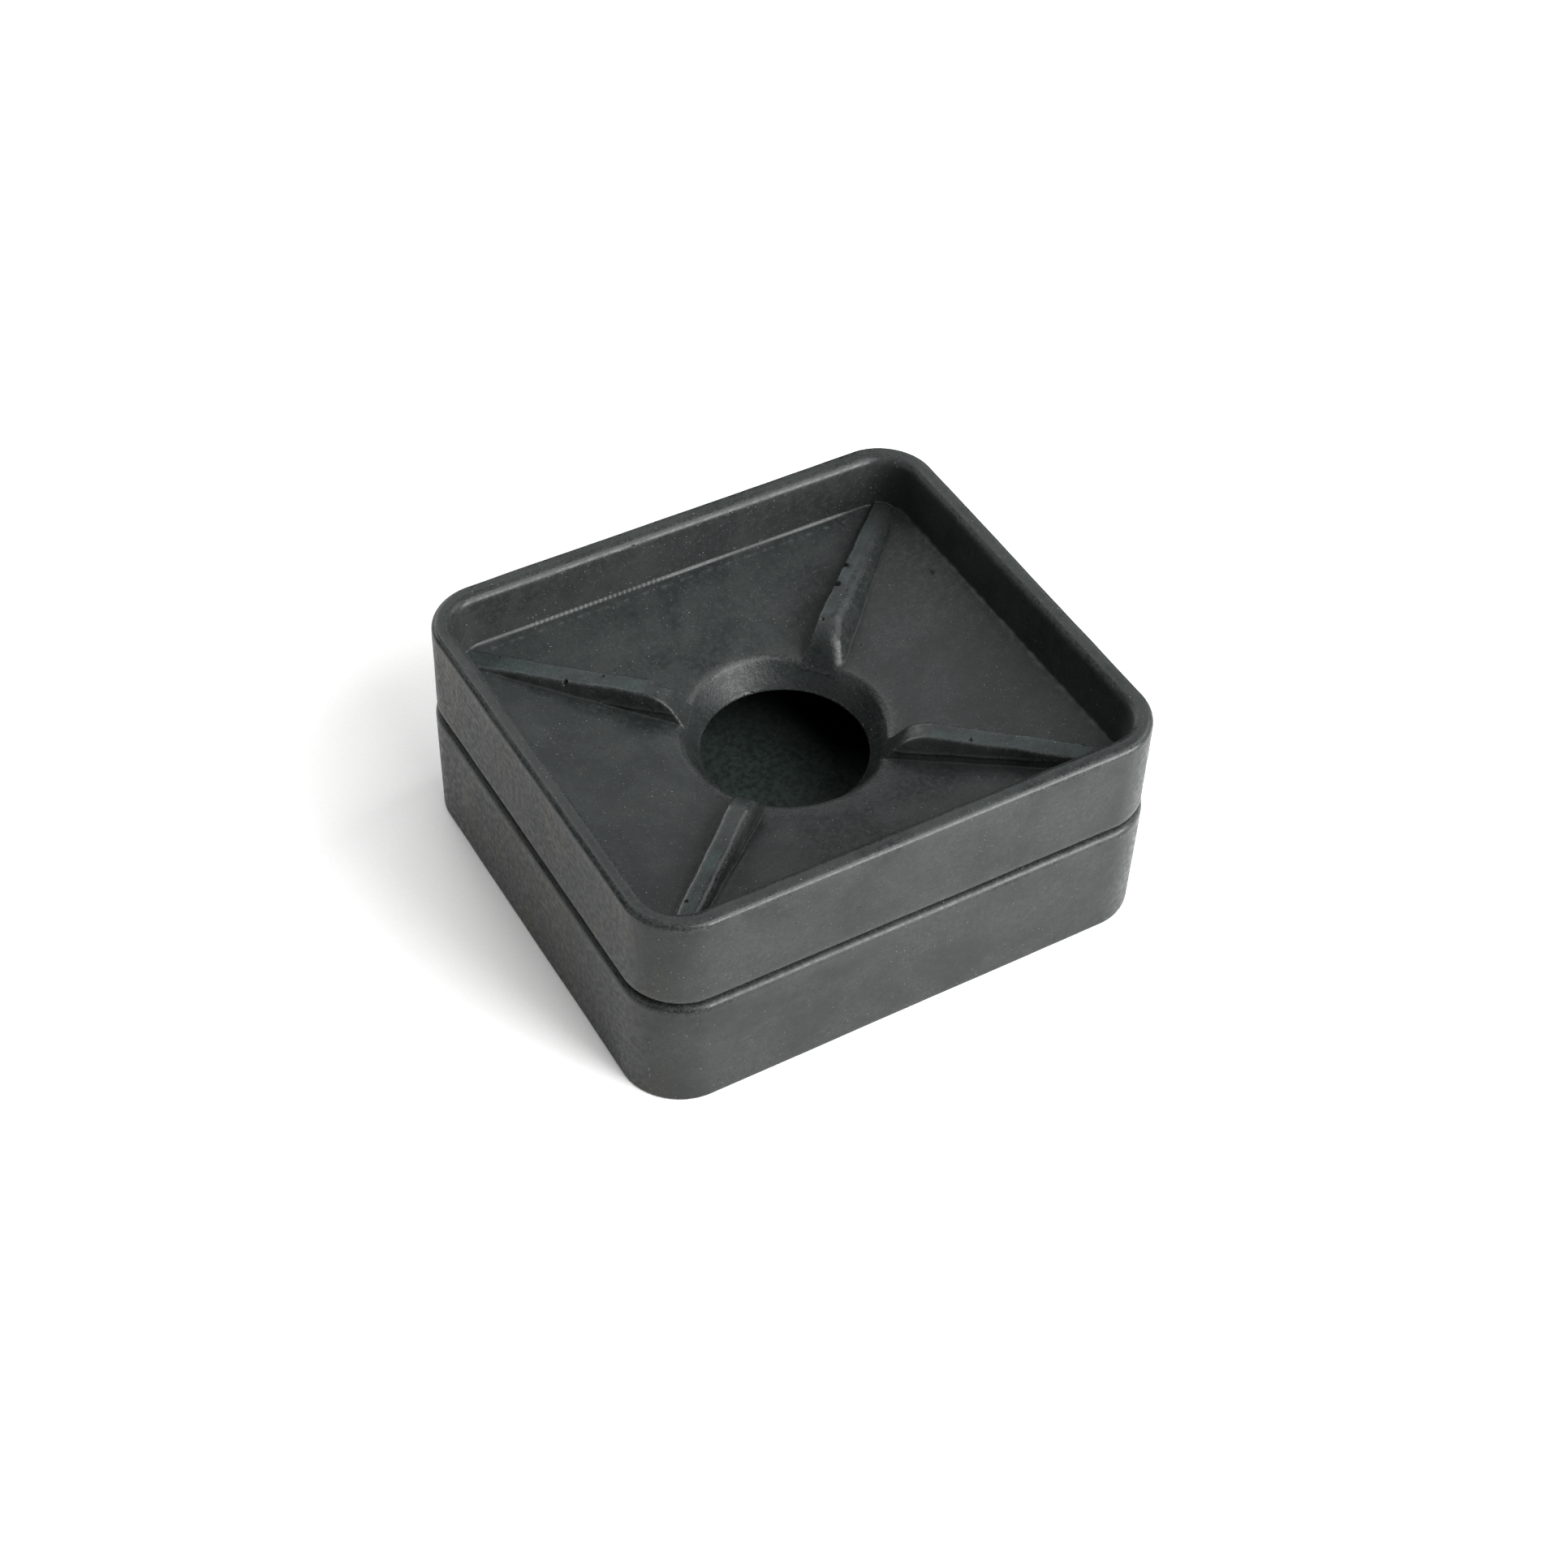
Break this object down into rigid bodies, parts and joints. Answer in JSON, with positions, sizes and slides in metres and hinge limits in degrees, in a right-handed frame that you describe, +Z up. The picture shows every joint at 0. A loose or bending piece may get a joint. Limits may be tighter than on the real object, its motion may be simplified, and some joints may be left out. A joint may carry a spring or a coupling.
{
  "type": "two-piece ashtray",
  "caption": "Rectangular cast-concrete ashtray: an open ash box under a loose dished tray with four diagonal ribs and a funnel hole.",
  "frame": {"origin": "middle of the box's underside, on the surface that it stands on", "axes": "+X along the long side, +Y towards the back, +Z up, the way the tray lifts off"},
  "size_m": [0.115, 0.1028, 0.0497],
  "materials": {
    "box_concrete": "satin-smooth charcoal cast concrete, mottled, with pale fines and air holes",
    "tray_concrete": "satin-smooth charcoal cast concrete, mottled, with pale fines and air holes"
  },
  "bodies": {
    "box": {"base_box": "box_concrete"},
    "tray": {"top_tray": "tray_concrete"}
  },
  "joints": [
    {"name": "tray_lift", "type": "slide", "parent": "box", "child": "tray", "axis": [0, 0, 1], "range_m": [0, 0.05]}
  ]
}
